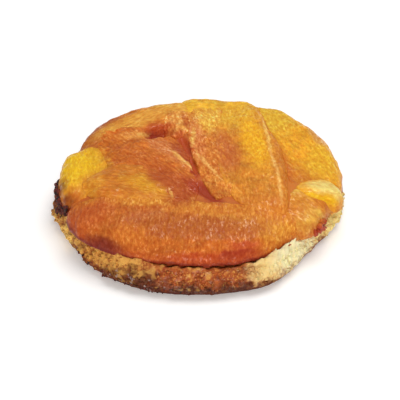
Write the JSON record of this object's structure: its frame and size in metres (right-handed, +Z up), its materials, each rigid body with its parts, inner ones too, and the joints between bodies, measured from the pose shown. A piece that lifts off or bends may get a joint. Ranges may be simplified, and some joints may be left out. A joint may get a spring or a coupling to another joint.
{
  "type": "tarte tatin",
  "caption": "Small round upside-down apple tart: thick browned pastry base carrying caramelised apple slices packed with their rounded sides up.",
  "frame": {"origin": "centre of the flat underside of the pastry", "axes": "+Z up through the apple, -Y towards the long front slice, +X to the right of it"},
  "size_m": [0.1055, 0.1036, 0.0224],
  "materials": {
    "baked_crust": "dry crumbly baked pastry, golden to dark brown with scorched spots",
    "deep_caramel_apple": "soft apple soaked in deep orange-red caramel, wet gloss",
    "amber_apple": "soft apple glazed with amber caramel, wet gloss",
    "golden_apple": "soft golden yellow apple with a thin glaze, wet gloss",
    "pale_apple": "pale yellow apple flesh with little caramel, soft gloss",
    "caramel": "dark red-brown caramel that has run between the slices, wet gloss"
  },
  "bodies": {
    "root": {"pastry": "baked_crust", "slice_front": "deep_caramel_apple", "slice_left_tip": "golden_apple", "slice_right_crescent": "amber_apple", "slice_curl": "amber_apple", "slice_left_crescent": "deep_caramel_apple", "slice_middle": "amber_apple", "slice_left_edge": "golden_apple", "slice_right_pale": "pale_apple", "slice_right_edge": "golden_apple", "slice_right_end": "amber_apple", "slice_back": "golden_apple", "slice_back_left": "amber_apple"}
  },
  "joints": []
}
